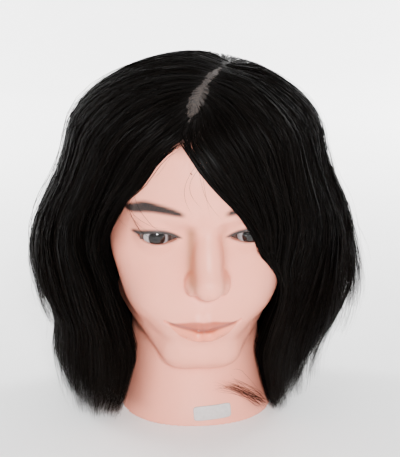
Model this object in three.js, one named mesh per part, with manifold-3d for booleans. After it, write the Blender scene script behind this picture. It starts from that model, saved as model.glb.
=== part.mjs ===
// Hairdresser's training head: vinyl skin over a foam core, inset eyes, a clamp socket in the neck
// and implanted hair in clipped sections. Millimetres, +Z up, face towards -Y, +X on the head's left.
// The origin is the middle of the flat neck base.
import * as THREE from 'three';
import { mergeVertices } from 'three/addons/utils/BufferGeometryUtils.js';
import Module from 'manifold-3d';

const wasm = await Module();
wasm.setup();

// ---- driving dimensions ----
const HEAD_TILT = THREE.MathUtils.degToRad(8); // the face leans down over the neck
const EYE_LEVEL = new THREE.Vector3(0, -6, 172.5); // origin of the head's own frame
const NECK_TOP = 150;
const SKIN_THICKNESS = 4;
const GAP = 0.4; // clearance between pieces that touch
const SKIN_GRID = [36, 36];
const INNER_GRID = [24, 18];
const NECK_GRID = [40, 8];

const EYE = [34, -68, 0]; // in the head's frame, mirrored for the other eye
const EYE_RADIUS = 12.5;
const EYE_BACK = 3; // the flat back lies this far behind the eye's centre
const LID_RADIUS = 14;
const LID_OPENING = { halfWidth: 15, above: 4.6, below: 4.2, depth: 40 };

const SOCKET = { bore: 12.5, depth: 75, wall: 3, flangeRadius: 25, flangeThickness: 3 };
const DISC = { bottom: SOCKET.flangeThickness + GAP, thickness: 6 };
const LABEL = { width: 29, height: 10.5, thickness: 0.4, lift: 0.8, middle: [9, 10], turn: 0.05 };

const HAIR_AXIS = new THREE.Vector3(0, 5, 170); // rays and levels are measured from here
const HAIR_TOP = 284;
const HAIR_SKIN_GAP = 4.2;
const LAYER_GAP = 2;
const LAYER_STEP = 12; // the upper layer lifts off this far above where the lower one swells
const CROWN_EDGE = 247; // level where the crown cap meets the other sections
const UPPER_EDGE = 80; // the upper layer ends here
const LOWER_START = 142; // the lower layer begins here, under the upper one
const LOWER_EDGE = 7;

// ---- fields: distance to a form, negative inside ----
const join = (a, b, blend) => {
  const h = Math.max(blend - Math.abs(a - b), 0) / blend;
  return Math.min(a, b) - (h * h * blend) / 4;
};
const carve = (a, b, blend) => -join(-a, b, blend);

const ellipsoid = (centre, radii) => (x, y, z) => {
  const ux = (x - centre[0]) / radii[0];
  const uy = (y - centre[1]) / radii[1];
  const uz = (z - centre[2]) / radii[2];
  const k = Math.hypot(ux, uy, uz);
  return (k * (k - 1)) / (Math.hypot(ux / radii[0], uy / radii[1], uz / radii[2]) + 1e-9);
};

const taperedRod = (a, b, ra, rb) => (x, y, z) => {
  const [dx, dy, dz] = [b[0] - a[0], b[1] - a[1], b[2] - a[2]];
  const along = ((x - a[0]) * dx + (y - a[1]) * dy + (z - a[2]) * dz) / (dx * dx + dy * dy + dz * dz);
  const t = THREE.MathUtils.clamp(along, 0, 1);
  return Math.hypot(x - a[0] - t * dx, y - a[1] - t * dy, z - a[2] - t * dz) - (ra + (rb - ra) * t);
};

// value of a smooth curve through [at, value] points, constant beyond its ends
const profile = (points) => {
  const slope = points.map((_, i) => {
    const before = points[Math.max(i - 1, 0)];
    const after = points[Math.min(i + 1, points.length - 1)];
    return (after[1] - before[1]) / (after[0] - before[0]);
  });
  return (at) => {
    const s = THREE.MathUtils.clamp(at, points[0][0], points[points.length - 1][0]);
    let i = 0;
    while (i < points.length - 2 && s > points[i + 1][0]) i += 1;
    const span = points[i + 1][0] - points[i][0];
    const t = (s - points[i][0]) / span;
    const rise = (1 - t) * (1 - t) * t * span;
    const fall = t * t * (t - 1) * span;
    const ease = t * t * (3 - 2 * t);
    return (1 - ease) * points[i][1] + ease * points[i + 1][1] + rise * slope[i] + fall * slope[i + 1];
  };
};

// [operation, form, blend], in the head's frame, for one half of a symmetric face
const HEAD_FORMS = [
  [join, ellipsoid([0, 8, 26], [75, 92, 80]), 1], // cranium
  [join, ellipsoid([0, -22, 34], [61, 64, 58]), 14], // forehead
  [join, ellipsoid([0, -26, -28], [61, 55, 72]), 20], // middle of the face
  [join, taperedRod([45, -8, -74], [17, -62, -101], 16, 14), 24], // jaw
  [join, ellipsoid([0, -64, -98], [25, 22, 16]), 12], // chin
  [join, ellipsoid([44, -44, -18], [22, 26, 20]), 18], // cheekbone
  [join, ellipsoid([30, -54, -46], [26, 27, 30]), 20], // cheek
  [carve, ellipsoid([82, -52, 14], [18, 36, 28]), 16], // temple
  [join, taperedRod([8, -77, 17], [42, -62, 20], 10, 9), 12], // brow ridge
  [join, ellipsoid([0, -66, -68], [33, 24, 27]), 12], // around the mouth
  [carve, ellipsoid([34, -92, 2], [20, 11, 9]), 9], // eye socket
  [join, ellipsoid(EYE, [LID_RADIUS, LID_RADIUS, LID_RADIUS]), 5], // lids
  [join, ellipsoid([74, 4, -14], [8, 15, 28]), 4], // ear
];

// [centre, radii, lean about X in degrees] of the rounded pieces of the nose and lips
const FACE_LUMPS = [
  [[0, -85, -9], [10, 12, 28], -21], // bridge of the nose
  [[0, -99.5, -29.5], [12, 11, 10], 0], // tip of the nose
  [[12, -89, -33], [7, 11, 8.5], 0], // wings of the nose
  [[-12, -89, -33], [7, 11, 8.5], 0],
  [[0, -82, -66.5], [25, 10, 5], 0], // upper lip
  [[0, -82, -76], [22, 12, 7.5], 0], // lower lip
];

const neckHalfWidth = profile([[0, 61], [8, 59.5], [20, 56], [40, 52.5], [70, 51], [110, 52], [150, 40]]);
const neckHalfDepth = profile([[0, 60], [8, 58.5], [20, 56], [40, 54], [70, 52], [110, 50], [150, 38]]);
const neckMiddle = profile([[0, 0], [20, 2], [40, 5], [70, 13], [110, 22], [150, 24]]);
const NECK_SQUARENESS = 2.25;
const NECK_BLEND = 12;

const roundedBox = (u, v, exponent) => (Math.abs(u) ** exponent + Math.abs(v) ** exponent) ** (1 / exponent);

const neckField = (x, y, z) => {
  const [a, b] = [neckHalfWidth(z), neckHalfDepth(z)];
  const side = (roundedBox(x / a, (y - neckMiddle(z)) / b, NECK_SQUARENESS) - 1) * Math.min(a, b);
  return Math.max(side, z - NECK_TOP);
};

const headField = (x, y, z) => {
  const [c, s] = [Math.cos(HEAD_TILT), Math.sin(HEAD_TILT)];
  const [dy, dz] = [y - EYE_LEVEL.y, z - EYE_LEVEL.z];
  const [hy, hz] = [c * dy + s * dz, c * dz - s * dy];
  let d = Infinity;
  for (const [operation, form, blend] of HEAD_FORMS) d = operation(d, form(Math.abs(x), hy, hz), blend);
  return d;
};

const skinField = (x, y, z) => join(headField(x, y, z), neckField(x, y, z), NECK_BLEND);

// ---- meshes and solids ----
const closedGeometry = (vertices, faces) => {
  const geometry = new THREE.BufferGeometry();
  geometry.setAttribute('position', new THREE.Float32BufferAttribute(vertices, 3));
  geometry.setIndex(faces);
  return geometry;
};

// merges shared vertices and drops the triangles that this flattens
const weld = (geometry) => {
  const bare = geometry.clone();
  bare.deleteAttribute('normal');
  bare.deleteAttribute('uv');
  const merged = mergeVertices(bare, 1e-3);
  const index = merged.index.array;
  const kept = [];
  for (let i = 0; i < index.length; i += 3) {
    const [a, b, c] = index.slice(i, i + 3);
    if (a !== b && b !== c && c !== a) kept.push(a, b, c);
  }
  merged.setIndex(kept);
  return merged;
};

const toSolid = (geometry) => {
  const welded = weld(geometry);
  const vertProperties = new Float32Array(welded.attributes.position.array);
  const triVerts = new Uint32Array(welded.index.array);
  return new wasm.Manifold(new wasm.Mesh({ numProp: 3, vertProperties, triVerts }));
};

const toGeometry = (solid) => {
  const { vertProperties, triVerts } = solid.getMesh();
  return closedGeometry(vertProperties, Array.from(triVerts));
};

// distance from a point to where the ray leaves a form
const reach = (field, from, direction, limit = 400) => {
  let [near, far] = [0, limit];
  for (let step = 0; step < 34; step += 1) {
    const middle = (near + far) / 2;
    const p = from.clone().addScaledVector(direction, middle);
    if (field(p.x, p.y, p.z) < 0) near = middle;
    else far = middle;
  }
  return near;
};

// distance to the outermost place where the ray crosses a form, found from outside
const outerReach = (field, from, direction, limit = 200) => {
  let distance = limit;
  for (let step = 0; step < 200 && distance > 0; step += 1) {
    const p = from.clone().addScaledVector(direction, distance);
    const clear = field(p.x, p.y, p.z);
    if (clear < 0.01) break;
    distance -= clear * 0.7;
  }
  return distance;
};

// a sphere's vertices pushed out along their rays to the surface of a form; its poles are at the
// face and the back of the head, so the rings are closest around the nose
const CORE = new THREE.Vector3(0, 0, 152);
const starGeometry = (field, [around, rings]) => {
  const geometry = new THREE.SphereGeometry(1, around, rings);
  const position = geometry.attributes.position;
  for (let i = 0; i < position.count; i += 1) {
    const ray = new THREE.Vector3().fromBufferAttribute(position, i).normalize();
    ray.multiplyScalar(outerReach(field, CORE, ray)).add(CORE);
    position.setXYZ(i, ray.x, ray.y, ray.z);
  }
  return geometry;
};

const box = (x0, x1, y0, y1, z0, z1) => {
  const geometry = new THREE.BoxGeometry(x1 - x0, y1 - y0, z1 - z0);
  return toSolid(geometry.translate((x0 + x1) / 2, (y0 + y1) / 2, (z0 + z1) / 2));
};

const slab = (z0, z1) => box(-200, 200, -200, 200, z0, z1);

const offsetField = (field, distance) => (x, y, z) => field(x, y, z) - distance;

// a solid of revolution about +Z from [radius, height] points, starting and ending on the axis
const turned = (points, segments) => {
  const outline = points.map(([r, h]) => new THREE.Vector2(r, h));
  return toSolid(new THREE.LatheGeometry(outline, segments).rotateX(Math.PI / 2));
};

// a sheet between two surfaces over a grid: outer(u, v) and inner(u, v), with u and v from 0 to 1
const shellBetween = (outer, inner, across, down, closedRing = false) => {
  const vertices = [];
  const faces = [];
  const row = across + 1;
  const layer = row * (down + 1);
  for (const surface of [outer, inner]) {
    for (let j = 0; j <= down; j += 1) {
      for (let i = 0; i <= across; i += 1) vertices.push(...surface(i / across, j / down).toArray());
    }
  }
  const quad = (a, b, c, d) => faces.push(a, b, c, a, c, d);
  for (let j = 0; j < down; j += 1) {
    for (let i = 0; i < across; i += 1) {
      const a = j * row + i;
      quad(a, a + row, a + row + 1, a + 1);
      quad(layer + a, layer + a + 1, layer + a + row + 1, layer + a + row);
    }
  }
  for (let i = 0; i < across; i += 1) {
    const low = down * row + i;
    quad(i, i + 1, layer + i + 1, layer + i);
    quad(low, layer + low, layer + low + 1, low + 1);
  }
  for (let j = 0; j < down && !closedRing; j += 1) {
    const left = j * row;
    const right = left + across;
    quad(left, layer + left, layer + left + row, left + row);
    quad(right, right + row, layer + right + row, layer + right);
  }
  return closedGeometry(vertices, faces);
};

// the neck as a stack of rounded outlines from the base up into the head
const NECK_INTO_HEAD = 118;
const neckSolid = (inset, bottom, [around, levels]) => {
  const ring = (z) => (u) => {
    const angle = 2 * Math.PI * u;
    const [c, s] = [Math.cos(angle), Math.sin(angle)];
    const scale = 1 / roundedBox(c, s, NECK_SQUARENESS);
    const x = (neckHalfWidth(z) - inset) * c * scale;
    return new THREE.Vector3(x, (neckHalfDepth(z) - inset) * s * scale + neckMiddle(z), z);
  };
  const side = (u, v) => ring(THREE.MathUtils.lerp(NECK_INTO_HEAD, bottom, v * v))(u);
  const axis = (u, v) => {
    const z = THREE.MathUtils.lerp(NECK_INTO_HEAD, bottom, v * v);
    return new THREE.Vector3(0, neckMiddle(z), z);
  };
  return toSolid(shellBetween(side, axis, around, levels, true));
};

const bodySolid = (inset, headGrid, bottom) => toSolid(starGeometry(offsetField(headField, -inset), headGrid))
  .add(neckSolid(inset, bottom, NECK_GRID));

const headPoint = (x, y, z) => new THREE.Vector3(x, y, z)
  .applyAxisAngle(new THREE.Vector3(1, 0, 0), HEAD_TILT)
  .add(EYE_LEVEL);

const lump = ([centre, radii, lean]) => {
  const geometry = new THREE.SphereGeometry(1, 14, 10).scale(...radii);
  geometry.rotateX(THREE.MathUtils.degToRad(lean)).translate(...centre);
  return toSolid(geometry.rotateX(HEAD_TILT).translate(EYE_LEVEL.x, EYE_LEVEL.y, EYE_LEVEL.z));
};

// ---- eyes ----
const eyeGeometry = (side, grow) => {
  const radius = EYE_RADIUS + grow;
  const back = EYE_BACK + grow;
  const start = Math.asin(-back / radius);
  const outline = [new THREE.Vector2(0, -back)];
  const steps = 10;
  for (let i = 0; i <= steps; i += 1) {
    const angle = start + ((Math.PI / 2 - start) * i) / steps;
    outline.push(new THREE.Vector2(Math.max(radius * Math.cos(angle), 0), radius * Math.sin(angle)));
  }
  outline[outline.length - 1].x = 0;
  const place = headPoint(side * EYE[0], EYE[1], EYE[2]);
  return new THREE.LatheGeometry(outline, 24)
    .rotateX(Math.PI) // the dome's axis, +Y, turns to face -Y
    .rotateX(HEAD_TILT)
    .translate(place.x, place.y, place.z);
};

const lidOpening = (side) => {
  const { halfWidth, above, below, depth } = LID_OPENING;
  const almond = new THREE.Shape();
  almond.moveTo(-halfWidth, 0);
  almond.quadraticCurveTo(0, 2 * above, halfWidth, 0);
  almond.quadraticCurveTo(0, -2 * below, -halfWidth, 0);
  const place = headPoint(side * EYE[0], EYE[1], EYE[2]);
  const geometry = new THREE.ExtrudeGeometry(almond, { depth, bevelEnabled: false, curveSegments: 8 });
  return toSolid(geometry.rotateX(Math.PI / 2 + HEAD_TILT).translate(place.x, place.y, place.z));
};

// ---- head, core and socket ----
const socketSolid = (grow) => {
  const tube = SOCKET.bore + SOCKET.wall + grow;
  const top = SOCKET.depth + SOCKET.wall + grow;
  return turned([[0, 0], [SOCKET.flangeRadius + grow, 0], [SOCKET.flangeRadius + grow,
    SOCKET.flangeThickness + grow], [tube, SOCKET.flangeThickness + grow], [tube, top], [0, top]], 40);
};

const eyePockets = toSolid(eyeGeometry(1, GAP)).add(toSolid(eyeGeometry(-1, GAP)));

const buildSkin = () => FACE_LUMPS.reduce((solid, form) => solid.add(lump(form)), bodySolid(0, SKIN_GRID, 0))
  .subtract(bodySolid(SKIN_THICKNESS, INNER_GRID, -1))
  .subtract(eyePockets)
  .subtract(lidOpening(1))
  .subtract(lidOpening(-1));

const buildFoam = () => bodySolid(SKIN_THICKNESS + GAP, INNER_GRID, 0)
  .subtract(slab(-200, DISC.bottom + DISC.thickness + GAP))
  .subtract(socketSolid(GAP))
  .subtract(eyePockets);

const buildDisc = () => neckSolid(SKIN_THICKNESS + GAP, 0, NECK_GRID)
  .intersect(slab(DISC.bottom, DISC.bottom + DISC.thickness))
  .subtract(socketSolid(GAP));

const buildSocket = () => socketSolid(0)
  .subtract(turned([[0, -1], [SOCKET.bore, -1], [SOCKET.bore, SOCKET.depth], [0, SOCKET.depth]], 40));

const buildLabel = () => {
  const surface = (lift) => (u, v) => {
    const [across, up] = [(u - 0.5) * LABEL.width, (0.5 - v) * LABEL.height];
    const x = LABEL.middle[0] + across * Math.cos(LABEL.turn) - up * Math.sin(LABEL.turn);
    const z = LABEL.middle[1] + across * Math.sin(LABEL.turn) + up * Math.cos(LABEL.turn);
    const forward = new THREE.Vector3(0, -1, 0);
    const start = new THREE.Vector3(x, 0, z);
    return start.addScaledVector(forward, reach(skinField, start, forward) + lift);
  };
  return shellBetween(surface(LABEL.lift + LABEL.thickness), surface(LABEL.lift), 8, 2);
};

// ---- hair ----
// half-widths and depths of the hair's outer form at each height
const hairRight = profile([[0, 102], [20, 110], [48, 115], [78, 116], [100, 125], [130, 130], [150, 128], [170, 120],
  [190, 109], [215, 101]]);
const hairLeft = profile([[0, 92], [18, 97], [33, 100], [48, 105], [63, 113], [78, 122], [92, 128], [110, 131],
  [130, 130], [150, 125.5], [170, 119], [190, 110], [215, 101]]);
const hairFront = profile([[0, 78], [50, 79], [90, 79], [110, 81], [130, 88], [150, 98], [170, 107],
  [190, 109], [215, 106]]);
const hairBack = profile([[0, 76], [50, 89], [80, 97], [110, 105], [150, 110], [190, 109.5],
  [215, 105]]);
const DOME_START = 215;
const DOME_FULLNESS = 0.6;
const HAIR_SQUARENESS = 2.1;

const hairField = (x, y, z) => {
  const up = THREE.MathUtils.clamp((z - DOME_START) / (HAIR_TOP - DOME_START), 0, 0.9999);
  const dome = (1 - up * up) ** DOME_FULLNESS;
  const width = dome * (x > 0 ? hairLeft(z) : hairRight(z));
  const forward = dome * (y - HAIR_AXIS.y < 0 ? hairFront(z) : hairBack(z));
  const side = roundedBox(x / width, (y - HAIR_AXIS.y) / forward, HAIR_SQUARENESS) - 1;
  return Math.max(side * Math.min(width, forward), z - HAIR_TOP);
};

// a level is a height below the axis point, and above it the angle up to the top, as a height
const hairRay = (azimuth, level) => {
  const turn = THREE.MathUtils.degToRad(azimuth);
  const rise = Math.max(level - HAIR_AXIS.z, 0) / (HAIR_TOP - HAIR_AXIS.z) * (Math.PI / 2);
  const from = new THREE.Vector3(HAIR_AXIS.x, HAIR_AXIS.y, Math.min(level, HAIR_AXIS.z));
  const flat = Math.cos(rise);
  return { from, ray: new THREE.Vector3(Math.sin(turn) * flat, -Math.cos(turn) * flat, Math.sin(rise)) };
};

const clearOfSkin = offsetField(skinField, HAIR_SKIN_GAP);
const onHair = (azimuth, level, radiusAt) => {
  const { from, ray } = hairRay(azimuth, level);
  const skin = outerReach(clearOfSkin, from, ray);
  return from.clone().addScaledVector(ray, radiusAt(skin, Math.max(reach(hairField, from, ray), skin)));
};

// how much of the thickness between skin and outer form the lower layer fills: it grows from a
// thin edge under the upper layer, and fills everything where the upper layer has ended
const LOWER_SHARE = 0.72;
const LEAST_THICKNESS = 3;
const lowerShare = profile([[60, 0.97], [80, LOWER_SHARE], [108, LOWER_SHARE], [LOWER_START, 0.02]]);
const lowerOuter = (skin, outer, level) => skin + Math.max((outer - skin) * lowerShare(level), LEAST_THICKNESS);
const underLower = (level) => level <= LOWER_START + LAYER_STEP;
const upperThickness = (level) => (underLower(level) ? 2 * LEAST_THICKNESS + LAYER_GAP : LEAST_THICKNESS);
const layers = {
  full: { inner: (skin) => skin, outer: (skin, outer) => Math.max(outer, skin + LEAST_THICKNESS) },
  upper: {
    inner: (skin, outer, level) => (underLower(level)
      ? lowerOuter(skin, outer, level - LAYER_STEP) + LAYER_GAP : skin),
    outer: (skin, outer, level) => Math.max(outer, skin + upperThickness(level)),
  },
  lower: { inner: (skin) => skin, outer: lowerOuter },
};

// a section of hair between two azimuths and two levels, each given as a function
const hairSection = ({ left, right, top, bottom, layer, across = 8, down = 8 }) => {
  const at = (u, v) => {
    const nominal = top + (bottom(0) - top) * v;
    const azimuth = THREE.MathUtils.lerp(left(nominal), right(nominal), u);
    const level = THREE.MathUtils.lerp(top, bottom(azimuth), v);
    return [THREE.MathUtils.lerp(left(level), right(level), u), level];
  };
  const surface = (pick) => (u, v) => {
    const [azimuth, level] = at(u, v);
    return onHair(azimuth, level, (skin, outer) => pick(skin, outer, level));
  };
  return shellBetween(surface(layer.outer), surface(layer.inner), across, down);
};

const constant = (value) => () => value;
const SEAM = 0.25; // half the gap between neighbouring sections, in degrees
const parting = profile([[213, -8], [230, 0], [247, 13]]);
const frontEdgeRight = profile([[0, -58], [23, -50], [50, -45], [77, -44], [113, -47], [157, -51]]);
const frontEdgeLeft = profile([[0, 56], [23, 50], [60, 40], [81, 37], [97, 39], [124, 38]]);
const fringeRight = profile([[-51, 157], [-42, 170], [-31, 183], [-22, 194], [-8, 213]]);
const fringeLeft = profile([[-8, 213], [-3, 201], [5, 188], [14, 178], [20, 166], [28, 145], [38, 124]]);
const SIDE_BACK = 112;

const crownGeometry = () => {
  const surface = (pick) => (u, v) => onHair(360 * u, HAIR_TOP - (HAIR_TOP - CROWN_EDGE - GAP) * v, pick);
  return shellBetween(surface(layers.full.outer), surface(layers.full.inner), 28, 5, true);
};

const sections = {
  hair_fringe_right: {
    left: constant(-51), right: (level) => parting(level) - 2 * SEAM,
    top: CROWN_EDGE, bottom: fringeRight, layer: layers.full,
  },
  hair_fringe_left: {
    left: (level) => parting(level) + 2 * SEAM, right: constant(38),
    top: CROWN_EDGE, bottom: fringeLeft, layer: layers.full,
  },
  hair_side_right_upper: {
    left: constant(-SIDE_BACK), right: (level) => frontEdgeRight(level) - 2 * SEAM,
    top: CROWN_EDGE, bottom: constant(UPPER_EDGE), layer: layers.upper, down: 12,
  },
  hair_side_left_upper: {
    left: (level) => frontEdgeLeft(level) + 2 * SEAM, right: constant(SIDE_BACK),
    top: CROWN_EDGE, bottom: constant(UPPER_EDGE), layer: layers.upper, down: 12,
  },
  hair_side_right_lower: {
    left: constant(-SIDE_BACK), right: (level) => frontEdgeRight(level) - 2 * SEAM,
    top: LOWER_START - GAP, bottom: constant(LOWER_EDGE), layer: layers.lower, down: 14,
  },
  hair_side_left_lower: {
    left: (level) => frontEdgeLeft(level) + 2 * SEAM, right: constant(SIDE_BACK),
    top: LOWER_START - GAP, bottom: constant(LOWER_EDGE), layer: layers.lower, down: 14,
  },
  hair_back_right_upper: {
    left: constant(-180 + SEAM), right: constant(-SIDE_BACK - SEAM),
    top: CROWN_EDGE, bottom: constant(UPPER_EDGE), layer: layers.upper, down: 12,
  },
  hair_back_left_upper: {
    left: constant(SIDE_BACK + SEAM), right: constant(180 - SEAM),
    top: CROWN_EDGE, bottom: constant(UPPER_EDGE), layer: layers.upper, down: 12,
  },
  hair_nape_right: {
    left: constant(-180 + SEAM), right: constant(-SIDE_BACK - SEAM),
    top: LOWER_START - GAP, bottom: constant(LOWER_EDGE), layer: layers.lower, down: 8,
  },
  hair_nape_left: {
    left: constant(SIDE_BACK + SEAM), right: constant(180 - SEAM),
    top: LOWER_START - GAP, bottom: constant(LOWER_EDGE), layer: layers.lower, down: 8,
  },
};

// ---- materials and assembly ----
const finish = (color, roughness, metalness = 0) => new THREE.MeshStandardMaterial({ color, roughness, metalness });
const vinyl = () => finish(0xe6c6be, 0.45);
const foam = () => finish(0xd9c58c, 0.95);
const plastic = () => finish(0xd8d2c8, 0.5);
const glossyEye = () => finish(0x4a4642, 0.08);
const paper = () => finish(0xd9d4cf, 0.8);
const hair = () => finish(0x171412, 0.4);

const head = new THREE.Group();
const addPiece = (name, geometry, material) => {
  const mesh = new THREE.Mesh(weld(geometry), material);
  mesh.geometry.computeVertexNormals();
  mesh.name = name;
  head.add(mesh);
};

addPiece('head_skin', toGeometry(buildSkin()), vinyl());
addPiece('foam_core', toGeometry(buildFoam()), foam());
addPiece('base_disc', toGeometry(buildDisc()), plastic());
addPiece('clamp_socket', toGeometry(buildSocket()), plastic());
addPiece('eye_left', eyeGeometry(1, 0), glossyEye());
addPiece('eye_right', eyeGeometry(-1, 0), glossyEye());
addPiece('neck_label', buildLabel(), paper());
addPiece('hair_crown', crownGeometry(), hair());
for (const [name, section] of Object.entries(sections)) addPiece(name, hairSection(section), hair());

export default head;
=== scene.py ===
import math

import bpy
import numpy as np
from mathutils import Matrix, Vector


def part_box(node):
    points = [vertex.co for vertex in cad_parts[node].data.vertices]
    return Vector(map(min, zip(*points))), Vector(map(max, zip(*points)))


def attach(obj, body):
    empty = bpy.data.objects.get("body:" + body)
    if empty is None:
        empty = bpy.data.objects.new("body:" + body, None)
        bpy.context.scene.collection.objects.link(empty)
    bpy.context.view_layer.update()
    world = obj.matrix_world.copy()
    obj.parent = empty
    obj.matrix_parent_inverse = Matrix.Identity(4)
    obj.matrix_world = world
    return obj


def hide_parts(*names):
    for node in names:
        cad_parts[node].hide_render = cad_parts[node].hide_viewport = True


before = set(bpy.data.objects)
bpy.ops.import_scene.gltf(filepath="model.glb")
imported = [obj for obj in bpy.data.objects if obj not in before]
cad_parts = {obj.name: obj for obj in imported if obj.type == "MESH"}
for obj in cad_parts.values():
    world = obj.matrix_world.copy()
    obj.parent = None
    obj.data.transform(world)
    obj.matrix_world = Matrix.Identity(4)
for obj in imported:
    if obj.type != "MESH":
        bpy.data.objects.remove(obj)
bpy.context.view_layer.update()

MM = 0.001  # the forms below are worked out in millimetres, in the CAD part's own frame


# ---------------------------------------------------------------- head form (distance fields)
# The head's own frame has its origin at HEAD_AT and leans forward over the neck, face towards -Y.
HEAD_TILT = math.radians(8)
HEAD_AT = (0.0, -6.0, 172.5)
EYE = (34.0, -68.0, 0.0)
EYE_R = 12.5
LID_R = 14.0
COS_T, SIN_T = math.cos(HEAD_TILT), math.sin(HEAD_TILT)


def to_head(x, y, z):
    y, z = y - HEAD_AT[1], z - HEAD_AT[2]
    return x, COS_T * y + SIN_T * z, -SIN_T * y + COS_T * z


def to_world(x, y, z):
    return x, COS_T * y - SIN_T * z + HEAD_AT[1], SIN_T * y + COS_T * z + HEAD_AT[2]


def smin(a, b, k):
    h = np.maximum(k - np.abs(a - b), 0) / k
    return np.minimum(a, b) - h * h * k * 0.25


def smax(a, b, k):
    return -smin(-a, -b, k)


def ball(x, y, z, c, r):
    ux, uy, uz = (x - c[0]) / r[0], (y - c[1]) / r[1], (z - c[2]) / r[2]
    k0 = np.sqrt(ux * ux + uy * uy + uz * uz)
    k1 = np.sqrt((ux / r[0]) ** 2 + (uy / r[1]) ** 2 + (uz / r[2]) ** 2) + 1e-9
    return k0 * (k0 - 1) / k1


def rod(x, y, z, a, b, ra, rb):
    d = [b[i] - a[i] for i in range(3)]
    along = ((x - a[0]) * d[0] + (y - a[1]) * d[1] + (z - a[2]) * d[2]) / sum(v * v for v in d)
    t = np.clip(along, 0, 1)
    away = (x - a[0] - t * d[0]) ** 2 + (y - a[1] - t * d[1]) ** 2 + (z - a[2] - t * d[2]) ** 2
    return np.sqrt(away) - (ra + (rb - ra) * t)


def curve(at, points):
    """Smooth curve through (at, value) points, constant beyond its ends."""
    xs = np.array([p[0] for p in points], float)
    vs = np.array([p[1] for p in points], float)
    slope = np.empty(len(xs))
    slope[1:-1] = (vs[2:] - vs[:-2]) / (xs[2:] - xs[:-2])
    slope[0] = (vs[1] - vs[0]) / (xs[1] - xs[0])
    slope[-1] = (vs[-1] - vs[-2]) / (xs[-1] - xs[-2])
    at = np.clip(at, xs[0], xs[-1])
    i = np.clip(np.searchsorted(xs, at) - 1, 0, len(xs) - 2)
    span = xs[i + 1] - xs[i]
    t = (at - xs[i]) / span
    ease = t * t * (3 - 2 * t)
    rise = t * (1 - t) ** 2 * span
    fall = t * t * (t - 1) * span
    return (1 - ease) * vs[i] + ease * vs[i + 1] + rise * slope[i] + fall * slope[i + 1]


NECK_HALF_WIDTH = [(0, 61), (8, 59.5), (20, 56), (40, 52.5), (70, 51), (110, 52), (150, 40)]
NECK_HALF_DEPTH = [(0, 60), (8, 58.5), (20, 56), (40, 54), (70, 52), (110, 50), (150, 38)]
NECK_MIDDLE = [(0, 0), (20, 2), (40, 5), (70, 13), (110, 22), (150, 24)]
NECK_SQUARENESS = 2.25
NECK_TOP = 150


def neck(x, y, z):
    a, b = curve(z, NECK_HALF_WIDTH), curve(z, NECK_HALF_DEPTH)
    u = np.abs(x / a) ** NECK_SQUARENESS + np.abs((y - curve(z, NECK_MIDDLE)) / b) ** NECK_SQUARENESS
    side = (u ** (1 / NECK_SQUARENESS) - 1) * np.minimum(a, b)
    return np.maximum(side, z - NECK_TOP)


NOSE_SHIFT = 2.4  # the nose sits a little to the head's left


def head_local(X, y, z):
    x = np.abs(X)

    def b(c, r):
        return ball(x, y, z, c, r)

    def r(a, b, ra, rb):
        return rod(x, y, z, a, b, ra, rb)

    d = b((0, 8, 26), (75, 92, 80))  # cranium
    d = smin(d, b((0, -22, 34), (61, 64, 58)), 14)  # forehead
    face = b((0, -26, -28), (61, 55, 72))
    face = smin(face, r((45, -8, -74), (17, -62, -101), 16, 14), 24)  # jaw
    face = smin(face, b((0, -64, -98), (25, 22, 16)), 12)  # chin
    face = smin(face, b((44, -44, -18), (22, 26, 20)), 18)  # cheekbone
    face = smin(face, b((30, -54, -46), (26, 27, 30)), 20)  # cheek
    d = smin(d, face, 20)
    d = smax(d, -b((82, -52, 14), (18, 36, 28)), 16)  # temple
    d = smin(d, r((8, -77, 17), (42, -62, 20), 10, 9), 12)  # brow ridge
    d = smin(d, b((0, -66, -68), (33, 24, 27)), 12)  # around the mouth
    d = smax(d, -b((33, -92, 3), (20, 9, 9)), 9)  # eye socket
    d = smax(d, -b((15, -91, 1), (7, 7, 9)), 8)  # inner corner of the socket
    beside = np.abs(X - NOSE_SHIFT)
    nose = rod(beside, y, z, (0, -77, 13), (0, -99.5, -27), 7.4, 9.4)
    nose = smin(nose, ball(beside, y, z, (0, -80, -22), (12.0, 17, 24)), 7)
    nose = smin(nose, ball(beside, y, z, (0, -100, -30), (10.4, 11, 9.5)), 6)
    nose = smin(nose, ball(beside, y, z, (10.8, -89, -33), (6.0, 10.5, 8.5)), 4.5)
    d = smin(d, nose, 5)
    d = smax(d, -ball(beside, y, z, (6.8, -95, -42), (3.4, 5.5, 3.6)), 2.5)  # nostril
    d = smin(d, b(EYE, (LID_R, LID_R, LID_R)), 6)  # lids
    d = smax(d, -r((0, -97, -46), (0, -95.5, -58), 2.4, 2.8), 6)  # groove under the nose
    d = smin(d, r((4.5, -86.6, -65.6), (26, -77.5, -68.5), 4.6, 2.0), 4)  # upper lip
    d = smin(d, r((4.2, -88.0, -76.2), (21, -79.0, -71.6), 6.9, 2.2), 3.4)  # lower lip
    slit = np.sqrt((z - mouth_line(x)) ** 2 * 1.6 + ((y + 95 - 0.016 * x * x) * 0.3) ** 2) - 1.0
    d = smax(d, -np.maximum(slit, x - 29), 1.6)
    return smax(d, -r((0, -96.5, -88.5), (14, -91.5, -87.5), 6, 5), 9)  # fold under the lower lip


def mouth_line(x):
    """Height of the line between the lips."""
    return -70.3 + 2.4 * (x / 27) ** 2 - 0.8 * np.exp(-((x / 4) ** 2))


def lid_opening(x, z):
    """Distance to the almond opening: x outwards from the eye's centre, z up."""
    z = z - 0.05 * x
    above = np.sqrt((x + 1.0) ** 2 + (z + 20.6) ** 2) - 25.0
    below = np.sqrt((x - 0.5) ** 2 + (z - 22.4) ** 2) - 27.0
    return np.maximum(above, below)


def eye_cut(X, y, z):
    return np.maximum(lid_opening(np.abs(X) - EYE[0], z - EYE[2]), y + 62)


EAR_AT = (6, -14)
EAR_LEAN = 0.2


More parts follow.
